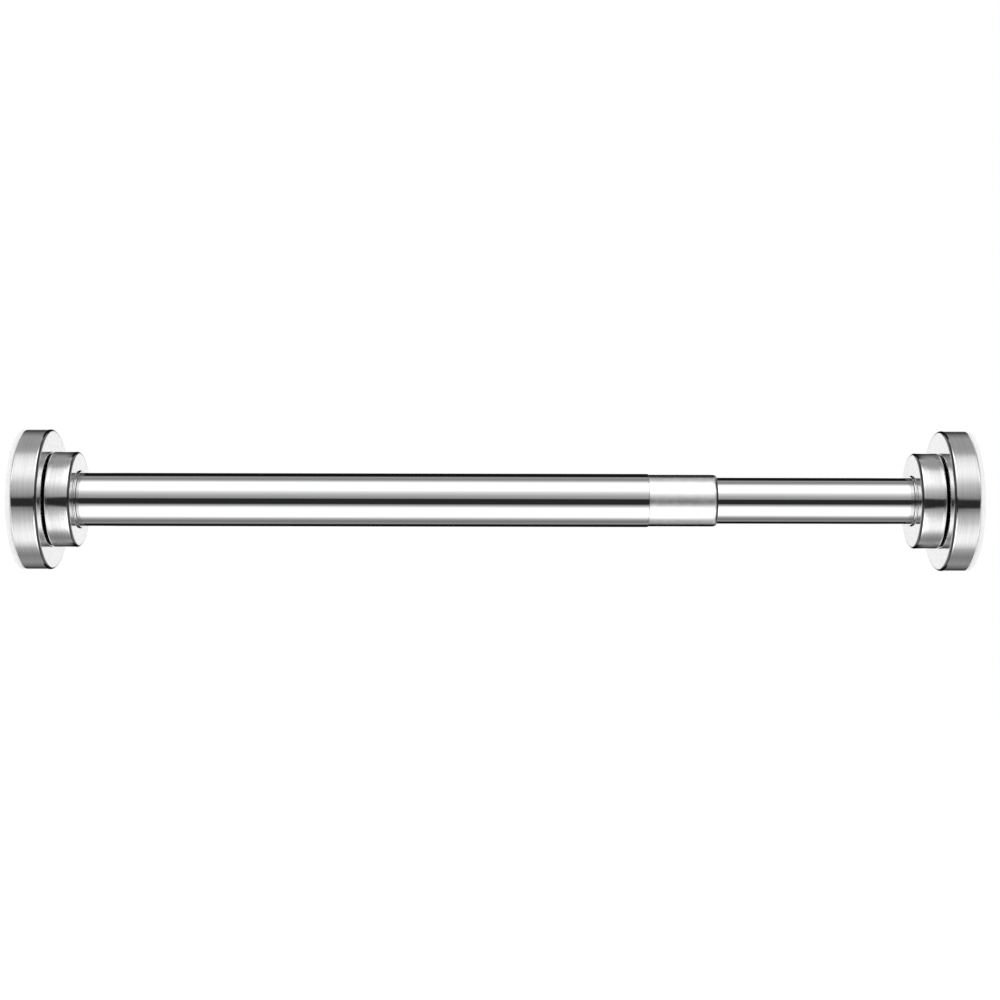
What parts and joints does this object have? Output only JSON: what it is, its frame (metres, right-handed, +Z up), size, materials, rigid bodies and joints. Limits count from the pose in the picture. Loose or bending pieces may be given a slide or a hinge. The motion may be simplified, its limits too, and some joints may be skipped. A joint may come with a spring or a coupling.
{
  "type": "telescopic tension rod",
  "caption": "Telescopic tension rod: steel tubes that slide and twist-lock, with a satin collar, screw-out round feet and rubber pads at both ends.",
  "frame": {"origin": "centre of the left pad's wall face", "axes": "+X along the rod from the left foot to the right foot, +Z up"},
  "size_m": [0.3896, 0.0578, 0.0578],
  "materials": {
    "chrome_tube": "mirror-bright chrome plate on steel tube, faint lengthwise drawing lines",
    "brushed_cover": "drawn stainless sheet, rims brushed around, faces lightly turned",
    "satin_collar": "satin, soft reflections",
    "zinc_steel": "bright zinc-plated steel",
    "black_plastic": "moulded black plastic, fine matt grain",
    "natural_nylon": "moulded natural nylon, slightly translucent",
    "white_rubber": "soft white rubber, matt"
  },
  "bodies": {
    "wide_tube": {"outer_tube": "chrome_tube", "transition_collar": "satin_collar", "guide_bush": "natural_nylon", "left_end_plug": "natural_nylon", "left_ferrule": "chrome_tube", "left_thrust_washer": "zinc_steel"},
    "left_ring": {"left_ring_cover": "brushed_cover", "left_nut_core": "black_plastic"},
    "left_foot": {"left_pad": "white_rubber", "left_foot_cover": "brushed_cover", "left_foot_core": "black_plastic", "left_foot_screw": "zinc_steel", "left_spindle": "zinc_steel", "left_stop_clip": "zinc_steel"},
    "split_sleeve": {"lock_sleeve": "natural_nylon"},
    "narrow_tube": {"inner_tube": "chrome_tube", "stud_plug": "natural_nylon", "stud_plug_pin": "zinc_steel", "lock_stud": "zinc_steel", "lock_washer": "zinc_steel", "lock_end_nut": "zinc_steel", "right_end_plug": "natural_nylon", "right_ferrule": "chrome_tube", "right_thrust_washer": "zinc_steel"},
    "cone": {"lock_cone": "zinc_steel"},
    "right_ring": {"right_ring_cover": "brushed_cover", "right_nut_core": "black_plastic"},
    "right_foot": {"right_pad": "white_rubber", "right_foot_cover": "brushed_cover", "right_foot_core": "black_plastic", "right_foot_screw": "zinc_steel", "right_spindle": "zinc_steel", "right_stop_clip": "zinc_steel"}
  },
  "joints": [
    {"name": "length_slide", "type": "slide", "parent": "wide_tube", "child": "split_sleeve", "axis": [1, 0, 0], "range_m": [-0.079, 0.065]},
    {"name": "twist_lock", "type": "hinge", "parent": "split_sleeve", "child": "narrow_tube", "pos_m": [0.178, 0, 0], "axis": [-1, 0, 0], "range_deg": [0, 720]},
    {"name": "cone_draw", "type": "slide", "parent": "split_sleeve", "child": "cone", "axis": [1, 0, 0], "range_m": [0, 0.0025]},
    {"name": "left_ring_turn", "type": "hinge", "parent": "wide_tube", "child": "left_ring", "pos_m": [0.018, 0, 0], "axis": [1, 0, 0], "range_deg": [0, 1680]},
    {"name": "left_foot_jack", "type": "slide", "parent": "wide_tube", "child": "left_foot", "axis": [-1, 0, 0], "range_m": [0, 0.014]},
    {"name": "right_ring_turn", "type": "hinge", "parent": "narrow_tube", "child": "right_ring", "pos_m": [0.37165, 0, 0], "axis": [-1, 0, 0], "range_deg": [0, 1680]},
    {"name": "right_foot_jack", "type": "slide", "parent": "narrow_tube", "child": "right_foot", "axis": [1, 0, 0], "range_m": [0, 0.014]}
  ],
  "couplings": [
    {"joint": "cone_draw", "follows": "twist_lock", "m_per_rad": 0.00019894},
    {"joint": "left_foot_jack", "follows": "left_ring_turn", "m_per_rad": 0.00047746},
    {"joint": "right_foot_jack", "follows": "right_ring_turn", "m_per_rad": 0.00047746}
  ]
}
